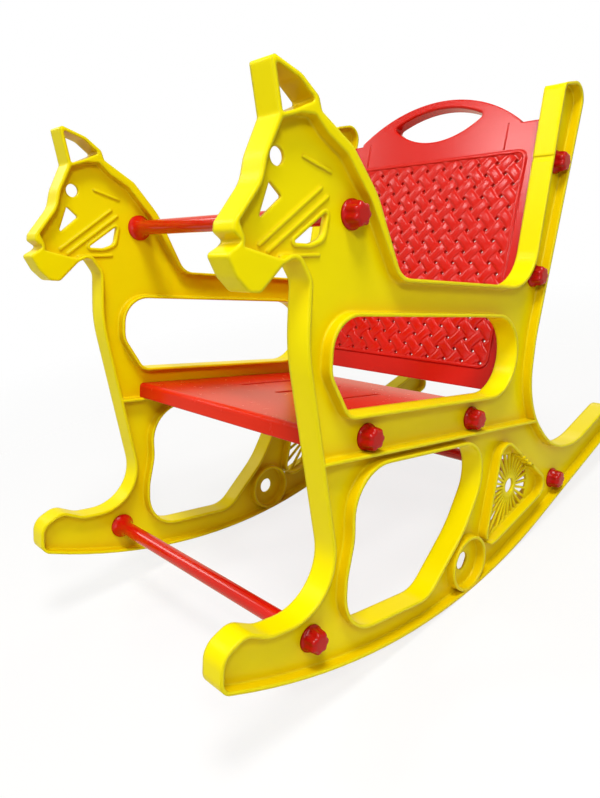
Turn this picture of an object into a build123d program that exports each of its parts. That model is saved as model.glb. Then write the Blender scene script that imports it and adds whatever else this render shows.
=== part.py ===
"""Child's rocking chair: two horse shaped side frames, slotted seat, woven backrest, three cross rods.

Millimetres, +Z up, +X to the child's left, -Y to the front where the horse heads are.
The side view is drafted with the armrests level: u runs to the rear, v runs up, and the
rockers' lowest point is at v = 0. The chair then leans back on its rockers by rest_lean.
"""
import os
from math import asin, atan2, cos, degrees, hypot, radians, sin, tan

from build123d import *

# Side frames: thin wall mouldings with a middle web and a rim along every edge
frame_pitch = 320.0
frame_thk = 23.0
web_thk = 3.0
rim_thk = 3.0
rocker_radius = 623.0
rocker_u = 126.0
rocker_front_u = -49.9
rocker_rear_u = 400.1
balance_at = (230.7, 235.0)

# Fixing points in the side view, the low ones as u and the height over the rocker's edge
handle_at = (58.0, 377.0)
foot_over = (38.0, 29.25)
rear_over = (441.0, 22.42)
port_over = (258.4, 31.27)
seat_screw_us = (92.0, 249.0)
seat_screw_v = 199.5
back_screw_bs = (0.0, 121.0)
back_screw_depths = (4.2, 6.0)

# Cross rods with flared ends, and the lobed knobs that close them
rod_dia = 15.5
collar_dia = 27.0
collar_len = 16.0
collar_edge = 2.0
spigot_dia = 10.0
spigot_reach = 9.0
knob_dia = 24.0
knob_height = 13.5
knob_flange = 3.0
knob_lobes = 6
knob_narrowing = 0.8
shank_dia = 5.0
shank_reach = 16.0
boss_dia = 7.8
run_gap = 0.2

# Seat tray
ledge_v = 187.0
ledge_thk = 3.0
seat_front_u = 60.0
seat_depth = 265.0
seat_height = 16.5
seat_wall = 3.0
seat_edge_radius = 5.0
seat_slot_len = 104.0
seat_slot_width = 8.0
seat_slot_pitch = 64.0
seat_slot_rear = 62.0
seat_ribs = 3
seat_rib_thk = 2.5

# Backrest panel
back_lean = 9.77
back_u = 341.2
back_v = 345.0
back_depth = 10.0
back_sheet = 3.0
back_wall = 3.0
back_bottom = -128.0
back_step = 167.5
back_arch_half = 115.0
back_arch_radius = 190.0
back_arch_blend = 4.0
back_arch_ease = 3.2
weave_col = 23.87
weave_row = 12.455
weave_rows = 19
weave_half_cols = 5
weave_top = 124.5
weave_hole = 4.2
weave_draft = 14.0
weave_thk = 3.9
field_half = 131.0
field_top = 137.0
field_bottom = -106.0
field_radius = 12.0
bead_width = 4.0
bead_height = 1.6
bead_round = 1.2
grip_depth = 17.0
grip_wall = 7.0
grip_round = 2.5

# Grip slot in the backrest as corners: across, down from the arch's top, radius
grip_corners = [(-66, 24.8, 3), (0, 73.3, 103), (66, 24.8, 3), (0, -5.9, 145)]

half_thk = frame_thk / 2
half_web = web_thk / 2
web_face = frame_pitch / 2 - half_web
knob_rest = frame_pitch / 2 + half_web

# The chair leans back until its centre of mass stands over the point where the rockers touch
rest_lean = degrees(atan2(balance_at[0] - rocker_u, rocker_radius - balance_at[1]))


def over_rocker(u, height, *radius):
    """Point at u, height above the rocker's edge: an arc between its two ends, straight beyond them."""
    along = min(max(u, rocker_front_u), rocker_rear_u) - rocker_u
    slope = asin(along / rocker_radius)
    rise = rocker_radius * (1 - cos(slope)) + (u - rocker_u - along) * tan(slope)
    return (u, rise + height, *radius)


foot_at = over_rocker(*foot_over)
rear_at = over_rocker(*rear_over)
port_at = over_rocker(*port_over)

# Outer edge of a side frame as corners (u, v, corner radius), from the rocker to the rear and round
toe_angle = asin((rocker_u - rocker_front_u) / rocker_radius)
tail_angle = asin((rocker_rear_u - rocker_u) / rocker_radius)
rocker_mid = (tail_angle - toe_angle) / 2
rocker_far = rocker_radius / cos((tail_angle + toe_angle) / 2)
rocker_corner = (
    rocker_u + rocker_far * sin(rocker_mid),
    rocker_radius - rocker_far * cos(rocker_mid),
    rocker_radius,
)
tail_end = 597.0
toe_end = -60.5

upright_top = (353.0, 538.0)
upright_foot = (326.5, 332.0)
rear_edge = [
    rocker_corner,
    over_rocker(tail_end, 0, 9),
    over_rocker(tail_end + 9, 11.59, 12),
    over_rocker(566, 43.18, 30),
    over_rocker(437.4, 48.19, 105),
    (346, 205.8, 90),
    (348.5, 280, 150),
    (401, 551, 17),
    (*upright_top, 7),
    (*upright_foot, 42),
    (112, upright_foot[1], 20),
    (76, 393, 60),
]
ear_edge = [
    (46, 423, 12),
    (12, 440.5, 4),
    (8.5, 449.5, 6),
    (-8, 460, 15),
    (-35.5, 467, 2.5),
    (-26.5, 431.5, 4),
]
brow_edge = [
    (-37.5, 405, 30),
    (-40.5, 388, 25),
]
mouth_edge = [
    (-60.5, 360, 5),
    (-61, 354, 2.5),
    (-53, 348.5, 2),
    (-57, 344.5, 2),
    (-65.5, 339, 3),
]
front_edge = [
    (-57, 325, 10),
    (-46, 315.5, 7),
    (-36.5, 315.5, 6),
    (-17, 335.5, 12),
    (-4, 342, 7),
    (8.7, 325, 14),
    (8.7, 275, 150),
    over_rocker(63.2, 56.83, 45),
    over_rocker(-14, 44.07, 25),
    over_rocker(-38, 48.03, 16),
    over_rocker(toe_end, 29.53, 18),
    over_rocker(toe_end, 0, 12),
]
outline = rear_edge + ear_edge + brow_edge + mouth_edge + front_edge

# The recess follows the outer edge without the ear and the chin, and with a plain mouth
core = (
    rear_edge[:-1]
    + [(71.5, 390, 60), (42.5, 419.5, 14), (21, 430, 12), (8, 440.5, 3), (-10, 438.5, 30), (-25, 432, 4)]
    + brow_edge
    + [(-60, 360.5, 5), (-54, 349.5, 4), (-55, 342.5, 3)]
    + front_edge[3:]
)

# Windows right through the frame
ear_window = [(-31.4, 462.9, 2), (-9.2, 457.2, 12), (6.5, 446.5, 2), (-10, 437.8, 30), (-23.4, 432.6, 2)]
arm_window = [(36.5, 300.5, 28), (36.5, 256, 22), (60, 221.5, 14), (309.5, 221.5, 39), (309.5, 300.5, 39)]
leg_window = [
    (71, 175.5, 40),
    (75, 115, 60),
    over_rocker(69, 79.39, 50),
    over_rocker(69.5, 27.43, 38),
    over_rocker(188, 26.91, 32),
    over_rocker(240, 75.48, 120),
    (264, 133, 45),
    (257, 175.5, 30),
]
windows = (ear_window, arm_window, leg_window)

# Walled triangle with a spoked grille, and walled round hole, both on the rear of the rocker
wheel_wall = [(302, 178, 17), over_rocker(424, 28.75, 16), over_rocker(281, 28.41, 16)]
wheel_gap = [(302, 151, 8), (379, 151, 37), over_rocker(379, 37.52, 8), over_rocker(286.7, 34.02, 4)]
wheel_at = (341.0, 113.0)
wheel_hole_dia = 17.0
wheel_hub_dia = 27.0
wheel_spokes = 26
spoke_width = 2.6
port_hole_dia = 19.5
port_wall_dia = 59.0

# Face details: eye, cheek and jaw holes in the web, and low ribs for the bridle
eye_at = (-18.5, 407.3)
eye_dia = 13.0
cheek_hole = [(-24.5, 391, 1.5), (-33.8, 362.5, 1.5), (-12.5, 381.5, 1.5)]
jaw_hole = [(-2, 351.5, 1), (16, 352, 14), (28, 357, 8), (31.5, 377, 1.5)]
jaw_bead = 3.0
rib_width = 2.4
rib_rise = 1.4
band_along = 0.64
band_height = 5.0
band_depth = 0.8
bridle_ribs = (
    ((-33, 347), (25, 393)),
    ((-25, 343), (32, 387.5)),
    ((-14, 341.5), (26, 345)),
    ((4, 411), (34, 404)),
)


def corner_points(corners, inset):
    """Corners moved inwards by inset, with the radius that keeps each rounded edge parallel."""
    count = len(corners)
    area = sum(corners[i - 1][0] * corners[i][1] - corners[i][0] * corners[i - 1][1] for i in range(count))
    turn = 1 if area > 0 else -1
    moved = []
    for i, (u, v, radius) in enumerate(corners):
        before = corners[i - 1]
        after = corners[(i + 1) % count]
        back = Vector(u - before[0], v - before[1]).normalized()
        ahead = Vector(after[0] - u, after[1] - v).normalized()
        cross = back.X * ahead.Y - back.Y * ahead.X
        slide = inset * turn / cross
        place = Vector(u, v) + (ahead - back) * slide
        outward = cross * turn > 0
        moved.append((place, max(radius - inset if outward else radius + inset, 0.4)))
    return moved


def shape(corners, inset=0.0, mode=Mode.ADD):
    """Closed flat shape through rounded corners, drawn in the sketch that is open."""
    places = corner_points(corners, inset)
    count = len(places)
    starts = []
    ends = []
    with BuildLine() as edge:
        for i, (place, radius) in enumerate(places):
            back = (places[i - 1][0] - place).normalized()
            ahead = (places[(i + 1) % count][0] - place).normalized()
            half = radians(back.get_angle(ahead)) / 2
            reach = radius / tan(half)
            middle = (back + ahead).normalized() * (radius / sin(half) - radius)
            starts.append(place + back * reach)
            ends.append(place + ahead * reach)
            ThreePointArc(starts[i], place + middle, ends[i])
        for i in range(count):
            Line(ends[i - 1], starts[i])
    make_face(edge.edges(), mode=mode)


def side_plane(middle, u=0.0, v=0.0):
    """Plane of the side view at x = middle, with its origin at the draft point (u, v)."""
    lean = radians(rest_lean)
    rear = Vector(0, cos(lean), -sin(lean))
    up = Vector(0, sin(lean), cos(lean))
    origin = Vector(middle, length_shift, rocker_radius) + rear * (u - rocker_u) + up * (v - rocker_radius)
    return Plane(origin=origin, x_dir=rear, z_dir=(1, 0, 0))


# The outline's own box gives the shift that centres the chair lengthwise
length_shift = 0.0
with BuildSketch(side_plane(0)) as silhouette:
    shape(outline)
silhouette_box = silhouette.sketch.bounding_box()
length_shift = -(silhouette_box.min.Y + silhouette_box.max.Y) / 2

back_tilt = radians(rest_lean + back_lean)
back_origin = side_plane(0, back_u, back_v).origin
back_plane = Plane(origin=back_origin, x_dir=(1, 0, 0), z_dir=(0, -cos(back_tilt), sin(back_tilt)))
back_screws = []
for b, depth in zip(back_screw_bs, back_screw_depths):
    lean = radians(back_lean)
    back_screws.append((
        back_u + b * sin(lean) + depth * cos(lean),
        back_v + b * cos(lean) - depth * sin(lean),
    ))
seat_screws = [(u, seat_screw_v) for u in seat_screw_us]

os.makedirs("parts", exist_ok=True)

# Left side frame, and the right one as its mirror image
middle = frame_pitch / 2
with BuildPart() as side_frame:
    with BuildSketch(side_plane(middle)):
        shape(outline)
        for window in windows:
            shape(window, mode=Mode.SUBTRACT)
    extrude(amount=half_thk, both=True)

    # Recess on both faces, leaving the rims, the ledge and the two walls
    for face in (-1, 1):
        with BuildSketch(side_plane(middle + face * half_web)):
            shape(core, rim_thk)
            for window in windows:
                shape(window, -rim_thk, Mode.SUBTRACT)
            with Locations((rocker_u, ledge_v)):
                Rectangle(2 * rocker_radius, ledge_thk, align=(Align.CENTER, Align.MAX), mode=Mode.SUBTRACT)
            shape(wheel_wall, mode=Mode.SUBTRACT)
            shape(wheel_wall, rim_thk)
            with Locations(port_at):
                Circle(port_wall_dia / 2, mode=Mode.SUBTRACT)
                Circle(port_wall_dia / 2 - rim_thk)
        extrude(amount=face * frame_thk, mode=Mode.SUBTRACT)

    # Shallow band across the upright's front wall
    rise = Vector(*upright_top) - Vector(*upright_foot)
    band = Vector(*upright_foot) + rise * band_along
    with BuildSketch(side_plane(middle)):
        with Locations((band.X, band.Y)):
            Rectangle(2 * band_depth, band_height, rotation=degrees(atan2(rise.Y, rise.X)) - 90)
    extrude(amount=half_thk, both=True, mode=Mode.SUBTRACT)

    # Low ribs of the bridle and the bead round the jaw hole
    with BuildSketch(side_plane(middle)):
        for start, end in bridle_ribs:
            angle = atan2(end[1] - start[1], end[0] - start[0])
            length = hypot(end[0] - start[0], end[1] - start[1])
            with Locations(((start[0] + end[0]) / 2, (start[1] + end[1]) / 2)):
                SlotOverall(length, rib_width, rotation=degrees(angle))
        shape(jaw_hole, -jaw_bead)
    extrude(amount=half_web + rib_rise, both=True)

    # Holes through the web: face, grille, port and fixings
    with BuildSketch(side_plane(middle)):
        shape(cheek_hole)
        shape(jaw_hole)
        with Locations(eye_at):
            Circle(eye_dia / 2)
        with Locations(port_at):
            Circle(port_hole_dia / 2)
        with Locations(handle_at, foot_at, rear_at):
            Circle(spigot_dia / 2 + run_gap)
        with Locations(*seat_screws, *back_screws):
            Circle(shank_dia / 2 + run_gap)
    extrude(amount=frame_thk, both=True, mode=Mode.SUBTRACT)
    with BuildSketch(side_plane(middle)):
        shape(wheel_gap)
        with Locations(wheel_at):
            with PolarLocations(0, wheel_spokes):
                Rectangle(2 * frame_pitch, spoke_width, mode=Mode.SUBTRACT)
            Circle(wheel_hub_dia / 2, mode=Mode.SUBTRACT)
            Circle(wheel_hole_dia / 2)
    extrude(amount=frame_thk, both=True, mode=Mode.SUBTRACT)
for hand, moulding in (("left", side_frame.part), ("right", mirror(side_frame.part, about=Plane.YZ))):
    moulding.label = f"{hand}_side_frame"
    export_step(moulding, f"parts/{hand}_side_frame.step")

# Cross rods: solid bars with flared ends on the webs and threaded spigots through them
half_rod = web_face
spigot_end = knob_rest + spigot_reach
flare_start = (half_rod - collar_len, rod_dia / 2)
flare_end = (half_rod - collar_edge, collar_dia / 2)
rod_end = [
    flare_end,
    (half_rod, collar_dia / 2),
    (half_rod, spigot_dia / 2),
    (spigot_end, spigot_dia / 2),
    (spigot_end, 0),
    (0, 0),
    (0, rod_dia / 2),
    flare_start,
]
rods = (("handle", handle_at), ("foot", foot_at), ("rear", rear_at))
for name, at in rods:
    centre = side_plane(0, *at).origin
    with BuildPart() as rod:
        with BuildSketch(Plane(origin=centre, x_dir=(1, 0, 0), z_dir=(0, -1, 0))):
            with BuildLine():
                Polyline(*rod_end)
                TangentArc(flare_start, flare_end, tangent=(1, 0))
            make_face()
            mirror(about=Plane.YZ)
        revolve(axis=Axis(centre, (1, 0, 0)))
    rod.part.label = f"{name}_rod"
    export_step(rod.part, f"parts/{name}_rod.step")

# Lobed knobs: blind nuts on the rods' spigots, and screws into the seat and the backrest
caps = {}
for kind in ("nut", "screw"):
    with BuildPart() as knob:
        with BuildSketch(side_plane(knob_rest)):
            Circle(knob_dia / 2)
        extrude(amount=knob_flange)
        for height, dia in ((0, knob_dia), (knob_height, knob_dia * knob_narrowing)):
            with BuildSketch(side_plane(knob_rest + height)) as lobes:
                Circle(dia * 0.37)
                with PolarLocations(dia * 0.35, knob_lobes, start_angle=15):
                    Circle(dia * 0.14)
                fillet(lobes.vertices(), dia * 0.06)
        loft()
        fillet(knob.faces().sort_by(Axis.X)[-1].edges(), knob_dia * 0.07)
        if kind == "screw":
            with BuildSketch(side_plane(knob_rest)):
                Circle(shank_dia / 2)
            extrude(amount=-(web_thk + shank_reach))
        else:
            with BuildSketch(side_plane(knob_rest)):
                Circle(spigot_dia / 2 + run_gap)
            extrude(amount=spigot_reach + run_gap, mode=Mode.SUBTRACT)
    caps[kind] = knob.part
fixings = [(f"{name}_nut", at) for name, at in rods]
fixings += [(f"seat_{place}_screw", at) for place, at in zip(("front", "rear"), seat_screws)]
fixings += [(f"back_{place}_screw", at) for place, at in zip(("lower", "upper"), back_screws)]
for name, at in fixings:
    cap = caps[name.split("_")[-1]].moved(Location(side_plane(0, *at).origin - side_plane(0).origin))
    for hand, fixing in (("left", cap), ("right", mirror(cap, about=Plane.YZ))):
        fixing.label = f"{name}_{hand}"
        export_step(fixing, f"parts/{name}_{hand}.step")

# Seat: slotted tray with a skirt and stiffening ribs, its sides in the channels above the ledges
half_seat = web_face - run_gap
seat_up = side_plane(0).y_dir
seat_plane = Plane(origin=side_plane(0, seat_front_u, ledge_v).origin, x_dir=(1, 0, 0), z_dir=seat_up)
seat_inner = seat_height - seat_wall
with BuildPart() as seat:
    with BuildSketch(seat_plane):
        with Locations((0, seat_depth / 2)):
            Rectangle(2 * half_seat, seat_depth)
    extrude(amount=seat_height)
    top = seat.faces().sort_by(lambda f: (f.center() - seat_plane.origin).dot(seat_up))[-1]
    fillet(top.edges().filter_by(Axis.X), seat_edge_radius)
    with BuildSketch(seat_plane):
        with Locations((0, seat_depth / 2)):
            Rectangle(2 * (half_seat - seat_wall), seat_depth - 2 * seat_wall)
            with GridLocations(seat_slot_pitch, 0, seat_ribs, 1):
                Rectangle(seat_rib_thk, seat_depth, mode=Mode.SUBTRACT)
    extrude(amount=seat_inner, mode=Mode.SUBTRACT)
    for out in (-1, 1):
        with BuildSketch(side_plane(out * half_seat)):
            with Locations(*seat_screws):
                Circle(boss_dia / 2)
        extrude(amount=-out * (shank_reach + seat_wall))
    with BuildSketch(seat_plane):
        with Locations((0, seat_depth - seat_slot_rear - seat_slot_len / 2)):
            with GridLocations(seat_slot_pitch, 0, seat_ribs + 1, 1):
                SlotOverall(seat_slot_len, seat_slot_width, rotation=90)
    extrude(amount=seat_height + seat_wall, mode=Mode.SUBTRACT)
    for out in (-1, 1):
        with BuildSketch(side_plane(out * half_seat)):
            with Locations(*seat_screws):
                Circle(shank_dia / 2 + run_gap)
        extrude(amount=-out * (shank_reach + run_gap), mode=Mode.SUBTRACT)
seat.part.label = "seat"
export_step(seat.part, "parts/seat.step")

# Backrest: skirted sheet pierced by the weave's holes, with a bead round the weave and a grip slot
half_back = web_face - run_gap
arch_angle = asin((back_arch_half - back_arch_blend) / back_arch_radius)
arch_end = back_step + back_arch_ease
arch_corner = arch_end + back_arch_half * tan(arch_angle)
arch_top = arch_corner - back_arch_radius / cos(arch_angle) + back_arch_radius
grip_slot = [(across, arch_top - down, radius) for across, down, radius in grip_corners]
back_outline = [
    (-half_back, back_bottom, 6),
    (half_back, back_bottom, 6),
    (half_back, back_step, 4),
    (back_arch_half, back_step, 2),
    (back_arch_half, arch_end, 1.5),
    (0, arch_corner, back_arch_radius),
    (-back_arch_half, arch_end, 1.5),
    (-back_arch_half, back_step, 2),
    (-half_back, back_step, 4),
]
field = [
    (-field_half, field_bottom, field_radius),
    (field_half, field_bottom, field_radius),
    (field_half, field_top, field_radius),
    (-field_half, field_top, field_radius),
]
with BuildPart() as backrest:
    with BuildSketch(back_plane):
        shape(back_outline)
    extrude(amount=-back_depth)
    with BuildSketch(back_plane.offset(-back_sheet)):
        shape(back_outline, back_wall)
    extrude(amount=-back_depth, mode=Mode.SUBTRACT)
    with BuildSketch(back_plane.offset(-back_sheet)):
        shape(field)
    extrude(amount=back_sheet - weave_thk)
    with BuildSketch(back_plane):
        shape(field)
        shape(field, bead_width, Mode.SUBTRACT)
    extrude(amount=bead_height)
    bead_top = backrest.faces(Select.LAST).sort_by(lambda f: back_plane.to_local_coords(f.center()).Z)[-1]
    fillet(bead_top.edges(), bead_round)
    with BuildSketch(back_plane):
        shape(grip_slot, -grip_wall)
    extrude(amount=-grip_depth)
    for out in (-1, 1):
        with BuildSketch(side_plane(out * half_back)):
            with Locations(*back_screws):
                Circle(boss_dia / 2)
        extrude(amount=-out * (shank_reach + back_wall))
    with BuildSketch(back_plane):
        shape(grip_slot)
    extrude(amount=-2 * grip_depth, mode=Mode.SUBTRACT)
    grip_rims = backrest.edges(Select.LAST).filter_by(
        lambda e: abs(back_plane.to_local_coords(e @ 0).Z - back_plane.to_local_coords(e @ 1).Z) < 0.01
    )
    fillet(grip_rims, grip_round)
    for out in (-1, 1):
        with BuildSketch(side_plane(out * half_back)):
            with Locations(*back_screws):
                Circle(shank_dia / 2 + run_gap)
        extrude(amount=-out * (shank_reach + run_gap), mode=Mode.SUBTRACT)
    with BuildSketch(back_plane):
        with Locations((0, weave_top - weave_row * (weave_rows - 1) / 2)):
            with GridLocations(weave_col, 2 * weave_row, 2 * weave_half_cols + 1, weave_rows // 2 + 1):
                Rectangle(weave_hole, weave_hole, rotation=45)
            with GridLocations(weave_col, 2 * weave_row, 2 * weave_half_cols, weave_rows // 2):
                Rectangle(weave_hole, weave_hole, rotation=45)
    extrude(amount=-weave_thk, taper=weave_draft, mode=Mode.SUBTRACT)
backrest.part.label = "backrest"
export_step(backrest.part, "parts/backrest.step")
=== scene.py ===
"""Child's rocking chair with horse shaped side frames, in moulded plastic, set in a pale studio."""

from math import atan2, cos, radians, sin

import bmesh
import bpy
from mathutils import Matrix, Vector


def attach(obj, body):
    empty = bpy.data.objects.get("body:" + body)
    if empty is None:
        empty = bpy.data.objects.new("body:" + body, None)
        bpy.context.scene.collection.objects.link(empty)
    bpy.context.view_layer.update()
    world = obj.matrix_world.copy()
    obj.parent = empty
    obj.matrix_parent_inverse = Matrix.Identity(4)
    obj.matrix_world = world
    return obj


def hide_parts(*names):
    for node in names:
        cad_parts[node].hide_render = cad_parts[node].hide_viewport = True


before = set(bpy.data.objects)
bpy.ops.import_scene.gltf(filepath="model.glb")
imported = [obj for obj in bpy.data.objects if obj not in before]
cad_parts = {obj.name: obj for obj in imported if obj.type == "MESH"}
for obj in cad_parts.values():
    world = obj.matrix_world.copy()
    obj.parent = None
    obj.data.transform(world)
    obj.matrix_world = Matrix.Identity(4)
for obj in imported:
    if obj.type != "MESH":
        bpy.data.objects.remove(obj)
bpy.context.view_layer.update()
scene = bpy.context.scene
scene.view_settings.view_transform = "Standard"


# Side frames: two mirror image injection mouldings in glossy yellow polypropylene. Each has a thin
# middle web with a rim round every edge and window. The skin keeps a faint orange peel from the
# tool, a little flow shade, softly rounded edges that pale with handling and, where the pale tint is
# strong, as a painted highlight, a few fine scuffs, and painted shade that darkens its recesses.
def place(tree, kind, **values):
    node = tree.nodes.new(kind)
    for name, value in values.items():
        if hasattr(node, name):
            setattr(node, name, value)
        else:
            node.inputs[name.replace("_", " ")].default_value = value
    return node


def moulded_skin():
    group = bpy.data.node_groups.new("moulded_skin", "ShaderNodeTree")
    face = group.interface
    face.new_socket("Tint", in_out="INPUT", socket_type="NodeSocketColor")
    face.new_socket("Edge Wear And Highlight Tint", in_out="INPUT", socket_type="NodeSocketColor")
    face.new_socket("Recess Shade Tint", in_out="INPUT", socket_type="NodeSocketColor")
    for name, value in (("Gloss Roughness", 0.3), ("Edge Radius", 0.002), ("Peel", 0.2)):
        face.new_socket(name, in_out="INPUT", socket_type="NodeSocketFloat").default_value = value
    face.new_socket("Color", in_out="OUTPUT", socket_type="NodeSocketColor")
    face.new_socket("Roughness", in_out="OUTPUT", socket_type="NodeSocketFloat")
    face.new_socket("Normal", in_out="OUTPUT", socket_type="NodeSocketVector")
    link = group.links.new
    given = place(group, "NodeGroupInput")
    out = place(group, "NodeGroupOutput")
    where = place(group, "ShaderNodeTexCoord")

    flow = place(group, "ShaderNodeTexNoise", Scale=11.0, Detail=3.0, Distortion=0.6)
    link(where.outputs["Object"], flow.inputs["Vector"])
    mottle = place(group, "ShaderNodeTexNoise", Scale=240.0, Detail=2.0)
    link(where.outputs["Object"], mottle.inputs["Vector"])
    scuff = place(group, "ShaderNodeTexNoise", Scale=75.0, Detail=9.0, Roughness=0.72)
    link(where.outputs["Object"], scuff.inputs["Vector"])
    scuffed = place(group, "ShaderNodeMapRange", From_Min=0.60, From_Max=0.72)
    link(scuff.outputs["Fac"], scuffed.inputs["Value"])

    # Rounded edges pale towards the edge tint. This is handling wear, and a painted highlight where
    # that tint is strong.
    soft = place(group, "ShaderNodeBevel", samples=12)
    link(given.outputs["Edge Radius"], soft.inputs["Radius"])
    plain = place(group, "ShaderNodeNewGeometry")
    turn = place(group, "ShaderNodeVectorMath", operation="DOT_PRODUCT")
    link(soft.outputs["Normal"], turn.inputs[0])
    link(plain.outputs["Normal"], turn.inputs[1])
    edge = place(group, "ShaderNodeMapRange", From_Min=0.995, From_Max=0.80, To_Max=0.35)
    link(turn.outputs["Value"], edge.inputs["Value"])

    flow_dark_and_recess_shade = place(group, "ShaderNodeHueSaturation", Saturation=1.03, Value=0.93)
    link(given.outputs["Tint"], flow_dark_and_recess_shade.inputs["Color"])
    shade = place(group, "ShaderNodeMix", data_type="RGBA")
    link(flow.outputs["Fac"], shade.inputs["Factor"])
    link(given.outputs["Tint"], shade.inputs["A"])
    link(flow_dark_and_recess_shade.outputs["Color"], shade.inputs["B"])
    # Painted shade: ambient occlusion pulls the colour towards the recess shade tint in recesses,
    # channels and corners.
    recess_occlusion = place(group, "ShaderNodeAmbientOcclusion", samples=16, Distance=0.05)
    painted_recess_shade = place(group, "ShaderNodeMapRange", From_Min=0.9, From_Max=0.5, To_Max=0.5)
    link(recess_occlusion.outputs["AO"], painted_recess_shade.inputs["Value"])
    recess_shaded = place(group, "ShaderNodeMix", data_type="RGBA")
    link(painted_recess_shade.outputs["Result"], recess_shaded.inputs["Factor"])
    link(shade.outputs["Result"], recess_shaded.inputs["A"])
    link(given.outputs["Recess Shade Tint"], recess_shaded.inputs["B"])
    edge_worn_and_highlit = place(group, "ShaderNodeMix", data_type="RGBA")
    link(edge.outputs["Result"], edge_worn_and_highlit.inputs["Factor"])
    link(recess_shaded.outputs["Result"], edge_worn_and_highlit.inputs["A"])
    link(given.outputs["Edge Wear And Highlight Tint"], edge_worn_and_highlit.inputs["B"])
    link(edge_worn_and_highlit.outputs["Result"], out.inputs["Color"])

    dull = place(group, "ShaderNodeMapRange", To_Min=-0.02, To_Max=0.02)
    link(mottle.outputs["Fac"], dull.inputs["Value"])
    scuff_dulling = 0.04
    worn = place(group, "ShaderNodeMath", operation="MULTIPLY_ADD")
    worn.inputs[1].default_value = scuff_dulling
    link(scuffed.outputs["Result"], worn.inputs[0])
    link(dull.outputs["Result"], worn.inputs[2])
    total = place(group, "ShaderNodeMath", operation="ADD", use_clamp=True)
    link(given.outputs["Gloss Roughness"], total.inputs[0])
    link(worn.outputs["Value"], total.inputs[1])
    link(total.outputs["Value"], out.inputs["Roughness"])

    peel = place(group, "ShaderNodeTexNoise", Scale=520.0, Detail=1.0)
    link(where.outputs["Object"], peel.inputs["Vector"])
    sink = place(group, "ShaderNodeTexNoise", Scale=34.0, Detail=1.0)
    link(where.outputs["Object"], sink.inputs["Vector"])
    sink_weight = 6.0
    height = place(group, "ShaderNodeMath", operation="MULTIPLY_ADD")
    height.inputs[1].default_value = sink_weight
    link(sink.outputs["Fac"], height.inputs[0])
    link(peel.outputs["Fac"], height.inputs[2])
    bump = place(group, "ShaderNodeBump", Distance=0.00004)
    link(given.outputs["Peel"], bump.inputs["Strength"])
    link(height.outputs["Value"], bump.inputs["Height"])
    link(soft.outputs["Normal"], bump.inputs["Normal"])
    link(bump.outputs["Normal"], out.inputs["Normal"])
    return group


skin = moulded_skin()


# Each moulding takes its own colour, a pale edge colour for worn edges and painted highlights, and a
# darker colour painted into its recesses as shade.
def plastic(name, tint, pale, flow_dark_and_recess_shade, roughness, shine, edge, peel):
    material = bpy.data.materials.new(name)
    material.use_nodes = True
    tree = material.node_tree
    shader = tree.nodes["Principled BSDF"]
    shader.inputs["IOR"].default_value = 1.49
    shader.inputs["Specular IOR Level"].default_value = shine
    cover = place(tree, "ShaderNodeGroup", node_tree=skin)
    cover.inputs["Tint"].default_value = (*tint, 1)
    cover.inputs["Edge Wear And Highlight Tint"].default_value = (*pale, 1)
    cover.inputs["Recess Shade Tint"].default_value = (*flow_dark_and_recess_shade, 1)
    cover.inputs["Gloss Roughness"].default_value = roughness
    cover.inputs["Edge Radius"].default_value = edge
    cover.inputs["Peel"].default_value = peel
    tree.links.new(cover.outputs["Color"], shader.inputs["Base Color"])
    tree.links.new(cover.outputs["Roughness"], shader.inputs["Roughness"])
    tree.links.new(cover.outputs["Normal"], shader.inputs["Normal"])
    return material


def dress(nodes, material):
    for node in nodes:
        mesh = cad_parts[node].data
        mesh.materials.clear()
        mesh.materials.append(material)


yellow = plastic(
    "yellow_moulding", tint=(0.86, 0.74, 0.0), pale=(0.92, 0.84, 0.02), flow_dark_and_recess_shade=(0.68, 0.38, 0.0),
    roughness=0.3, shine=0.1, edge=0.004, peel=0.08,
)
dress(("left_side_frame", "right_side_frame"), yellow)


# Cross rods: three red bars with trumpet ends, drawn up against the webs by the knobs outside.
# They are the glossiest pieces, since a hand or a shoe keeps rubbing them.
rod_red = plastic(
    "rod_red", tint=(0.60, 0.008, 0.004), pale=(0.74, 0.04, 0.03), flow_dark_and_recess_shade=(0.45, 0.004, 0.002),
    roughness=0.16, shine=0.35, edge=0.001, peel=0.12,
)
dress(("handle_rod", "foot_rod", "rear_rod"), rod_red)


# Seat: red tray that slides into the frames' channels and is held by two screws through each web.
# Its top is a broad smooth face, so the flow shade and the fine scuffs show most here. Its strong
# pale edge tint paints a highlight along the rounded edges.
seat_red = plastic(
    "seat_red", tint=(0.72, 0.024, 0.008), pale=(0.90, 0.26, 0.18), flow_dark_and_recess_shade=(0.45, 0.004, 0.002),
    roughness=0.26, shine=0.15, edge=0.002, peel=0.04,
)
dress(("seat",), seat_red)


# Backrest: red panel moulded to look like plaited cane, with a square hole at each corner of the
# plait, a round bead along its border and a grip slot above. The plait's crowns lie on both faces.
back_red = plastic(
    "back_red", tint=(0.60, 0.008, 0.004), pale=(0.76, 0.05, 0.04), flow_dark_and_recess_shade=(0.40, 0.003, 0.002),
    roughness=0.2, shine=0.24, edge=0.002, peel=0.15,
)
dress(("backrest",), back_red)
chair_lean, back_recline = 15.1, 9.77
back_lean = radians(chair_lean + back_recline)
back_middle = (0, 0.1319, 0.29854)
back_frame = Matrix.Translation(back_middle) @ Matrix.Rotation(radians(90) - back_lean, 4, "X")
column, row = 0.02387, 0.012455
top_row = 0.1245
field_half, field_top, field_bottom = 0.1275, 0.1335, -0.1025
strip_reach, strip_slant = 0.0109, 46.2
strip_edge, strip_swell, strip_crown, strip_bed = 0.9, 1.36, 0.3, 0.0001
strip_lines, strip_places = range(-1, 20), range(-6, 7)


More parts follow.
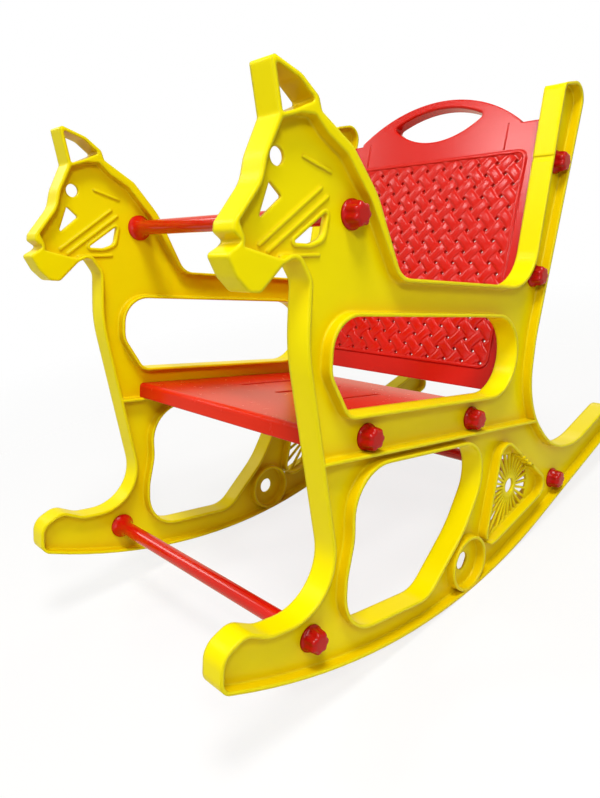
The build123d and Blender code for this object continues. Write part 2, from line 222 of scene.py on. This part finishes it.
def shell(name, bm, material):
    for face in bm.faces:
        face.smooth = True
    mesh = bpy.data.meshes.new(name)
    bm.to_mesh(mesh)
    bm.free()
    piece = bpy.data.objects.new(name, mesh)
    scene.collection.objects.link(piece)
    mesh.materials.append(material)
    return piece


def plait(name, depth, facing, rise, strip_half, squareness):
    bm = bmesh.new()
    for line in strip_lines:
        even = line % 2 == 0
        slant = radians(strip_slant if even else -strip_slant)
        up = top_row - line * row
        for step in strip_places:
            across = (step + (0.5 if even else 0.0)) * column
            if abs(across) > field_half + column / 2:
                continue
            grid = bmesh.ops.create_grid(bm, x_segments=8, y_segments=6, size=1.0)["verts"]
            for vert in grid:
                x, y = vert.co.x, vert.co.y
                edge = abs(y) > strip_edge
                vert.co.x = x * strip_reach
                vert.co.y = strip_half * (y if edge else strip_swell * y)
                lift = 0.0 if edge else (1 - abs(x) ** squareness) * (1 - strip_crown * y * y)
                vert.co.z = depth + facing * (lift * rise - strip_bed)
            bmesh.ops.rotate(bm, verts=grid, matrix=Matrix.Rotation(slant, 3, "Z"))
            bmesh.ops.translate(bm, verts=grid, vec=(across, up, 0))
    for point, side in (
        ((field_half, 0, 0), (1, 0, 0)),
        ((-field_half, 0, 0), (-1, 0, 0)),
        ((0, field_top, 0), (0, 1, 0)),
        ((0, field_bottom, 0), (0, -1, 0)),
    ):
        every = bm.verts[:] + bm.edges[:] + bm.faces[:]
        bmesh.ops.bisect_plane(bm, geom=every, plane_co=point, plane_no=side, clear_outer=True)
    if facing < 0:
        bmesh.ops.reverse_faces(bm, faces=bm.faces[:])
    bmesh.ops.transform(bm, matrix=back_frame, verts=bm.verts[:])
    piece = shell(name, bm, back_red)
    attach(piece, "root")


plait("plait_front", depth=0.0, facing=1, rise=0.0009, strip_half=0.0057, squareness=3.0)
plait("plait_rear", depth=-0.0039, facing=-1, rise=0.0026, strip_half=0.0073, squareness=7.0)

# Two faint raised lines stand beside the arch, above the plaited field.
rib_across, rib_wide, rib_low, rib_high = 0.101, 0.0022, 0.139, 0.169
rib_proud, rib_rounding = 0.0003, 0.8
bm = bmesh.new()
for side in (-1, 1):
    bar = bmesh.ops.create_cube(bm, size=1.0)["verts"]
    bmesh.ops.scale(bm, vec=(rib_wide, rib_high - rib_low, 2 * rib_proud), verts=bar)
    bmesh.ops.translate(bm, vec=(side * rib_across, (rib_high + rib_low) / 2, 0), verts=bar)
bmesh.ops.bevel(
    bm, geom=bm.edges[:], offset=rib_proud * rib_rounding, segments=3, profile=0.5,
    affect="EDGES", material=-1,
)
bmesh.ops.transform(bm, matrix=back_frame, verts=bm.verts[:])
ribs = shell("back_ribs", bm, back_red)
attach(ribs, "root")


# Knobs: dark red lobed caps, nuts on the rods' ends and screws into the seat and the backrest.
# They are a separate, slightly duller moulding, and their lobes are polished by fingers. Each cap is
# a plain collar that narrows into seven round lobes, given as height, radius and depth of groove.
knob_red = plastic(
    "knob_red", tint=(0.46, 0.004, 0.004), pale=(0.56, 0.02, 0.02), flow_dark_and_recess_shade=(0.30, 0.002, 0.002),
    roughness=0.25, shine=0.25, edge=0.0015, peel=0.15,
)
cap_sides, cap_lobes, cap_height = 84, 7, 0.0135
cap_profile = (
    (0.0000, 0.0119, 0.0000),
    (0.0014, 0.0119, 0.0000),
    (0.0018, 0.0117, 0.0000),
    (0.0021, 0.0112, 0.0003),
    (0.0030, 0.0108, 0.0010),
    (0.0080, 0.0104, 0.0016),
    (0.0106, 0.0100, 0.0017),
    (0.0122, 0.0093, 0.0015),
    (0.0131, 0.0081, 0.0011),
    (0.0135, 0.0064, 0.0005),
    (0.0135, 0.0045, 0.0001),
)


def lobed_cap(node):
    points = [vert.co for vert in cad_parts[node].data.vertices]
    outward = 1 if node.endswith("_left") else -1
    web_face = outward * (max(abs(p.x) for p in points) - cap_height)
    middle_y = (min(p.y for p in points) + max(p.y for p in points)) / 2
    middle_z = (min(p.z for p in points) + max(p.z for p in points)) / 2
    bm = bmesh.new()
    disc = bmesh.ops.create_circle(bm, cap_ends=True, segments=cap_sides, radius=cap_profile[0][1])
    base = disc["verts"][0].link_faces[0]
    top = base
    for height, radius, groove in cap_profile[1:]:
        below = top
        grown = bmesh.ops.extrude_face_region(bm, geom=[below])["geom"]
        top = next(part for part in grown if isinstance(part, bmesh.types.BMFace))
        if below is not base:
            bmesh.ops.delete(bm, geom=[below], context="FACES_ONLY")
        for vert in top.verts:
            turn = atan2(vert.co.y, vert.co.x)
            reach = radius - groove * (1 + cos(cap_lobes * turn)) / 2
            vert.co = (reach * cos(turn), reach * sin(turn), height)
    bmesh.ops.recalc_face_normals(bm, faces=bm.faces[:])
    turned = Matrix.Rotation(outward * radians(90), 4, "Y")
    stand = Matrix.Translation((web_face, middle_y, middle_z)) @ turned
    bmesh.ops.transform(bm, matrix=stand, verts=bm.verts[:])
    cap = shell(node + "_cap", bm, knob_red)
    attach(cap, "root")
    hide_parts(node)


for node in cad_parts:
    if "_nut_" in node or "_screw_" in node:
        lobed_cap(node)


# Studio: a pale floor that fades into a white surround, broad soft lamps, and the camera at the
# photograph's place.
bm = bmesh.new()
bmesh.ops.create_circle(bm, cap_ends=True, segments=96, radius=3.0)
mesh = bpy.data.meshes.new("floor")
bm.to_mesh(mesh)
bm.free()
floor = bpy.data.objects.new("floor", mesh)
scene.collection.objects.link(floor)
paper = bpy.data.materials.new("floor_paper")
paper.use_nodes = True
tree = paper.node_tree
tree.nodes.clear()
out = place(tree, "ShaderNodeOutputMaterial")
matt = place(tree, "ShaderNodeBsdfDiffuse")
matt.inputs["Color"].default_value = (0.82, 0.82, 0.82, 1)
glow = place(tree, "ShaderNodeEmission", Color=(1, 1, 1, 1), Strength=1.0)
path = place(tree, "ShaderNodeLightPath")
floor_lift = 0.8
lift = place(tree, "ShaderNodeMath", operation="MULTIPLY")
lift.inputs[1].default_value = floor_lift
pale = place(tree, "ShaderNodeMixShader")
tree.links.new(path.outputs["Is Camera Ray"], lift.inputs[0])
tree.links.new(lift.outputs["Value"], pale.inputs["Fac"])
tree.links.new(matt.outputs["BSDF"], pale.inputs[1])
tree.links.new(glow.outputs["Emission"], pale.inputs[2])
clear = place(tree, "ShaderNodeBsdfTransparent")
fade = place(tree, "ShaderNodeMixShader")
where = place(tree, "ShaderNodeTexCoord")
far = place(tree, "ShaderNodeVectorMath", operation="LENGTH")
reach = place(tree, "ShaderNodeMapRange", From_Min=0.5, From_Max=1.4)
tree.links.new(where.outputs["Object"], far.inputs[0])
tree.links.new(far.outputs["Value"], reach.inputs["Value"])
gone = place(tree, "ShaderNodeMath", operation="MAXIMUM")
tree.links.new(reach.outputs["Result"], gone.inputs[0])
tree.links.new(path.outputs["Is Glossy Ray"], gone.inputs[1])
tree.links.new(gone.outputs["Value"], fade.inputs["Fac"])
tree.links.new(pale.outputs["Shader"], fade.inputs[1])
tree.links.new(clear.outputs["BSDF"], fade.inputs[2])
tree.links.new(fade.outputs["Shader"], out.inputs["Surface"])
mesh.materials.append(paper)

world = bpy.data.worlds.new("white_surround")
scene.world = world
world.use_nodes = True
tree = world.node_tree
tree.nodes.clear()
out = place(tree, "ShaderNodeOutputWorld")
seen = place(tree, "ShaderNodeBackground", Color=(1, 1, 1, 1), Strength=1.0)
light = place(tree, "ShaderNodeBackground", Color=(1.0, 0.86, 0.66, 1))
path = place(tree, "ShaderNodeLightPath")
either = place(tree, "ShaderNodeMath", operation="MAXIMUM")
dim = place(tree, "ShaderNodeMapRange", To_Min=0.18, To_Max=1.0)
mix = place(tree, "ShaderNodeMixShader")
tree.links.new(path.outputs["Is Glossy Ray"], dim.inputs["Value"])
tree.links.new(dim.outputs["Result"], light.inputs["Strength"])
tree.links.new(path.outputs["Is Camera Ray"], either.inputs[0])
tree.links.new(path.outputs["Is Transmission Ray"], either.inputs[1])
tree.links.new(either.outputs["Value"], mix.inputs["Fac"])
tree.links.new(light.outputs["Background"], mix.inputs[1])
tree.links.new(seen.outputs["Background"], mix.inputs[2])
tree.links.new(mix.outputs["Shader"], out.inputs["Surface"])

for name, place_at, aim, power, size in (
    ("top_softbox", (0.75, -0.4, 2.3), (0, 0, 0.25), 37, 0.6),
    ("front_softbox", (-0.3, -2.4, 0.9), (0, 0, 0.25), 9, 1.4),
    ("high_softbox", (-1.15, -1.35, 2.1), (0, 0.1, 0.35), 9, 0.35),
    ("far_softbox", (-1.9, -0.7, 1.6), (0, -0.1, 0.2), 8, 0.6),
    ("rear_softbox", (-0.5, 2.3, 1.5), (0, 0, 0.25), 12, 1.2),
    ("side_softbox", (0.8, -0.6, 0.95), (0.16, -0.2, 0.4), 4.5, 0.2),
):
    lamp = bpy.data.lights.new(name, "AREA")
    lamp.energy = power
    lamp.size = size
    softbox = bpy.data.objects.new(name, lamp)
    softbox.location = place_at
    softbox.rotation_euler = (Vector(aim) - Vector(place_at)).to_track_quat("-Z", "Y").to_euler()
    scene.collection.objects.link(softbox)

lens = bpy.data.cameras.new("camera")
lens.lens = 29.714
lens.sensor_width = 36.0
camera = bpy.data.objects.new("camera", lens)
camera.location = (0.51548, -0.51381, 0.44774)
camera.rotation_euler = (radians(70.0238), radians(8.3772), radians(46.5664))
scene.collection.objects.link(camera)
scene.camera = camera
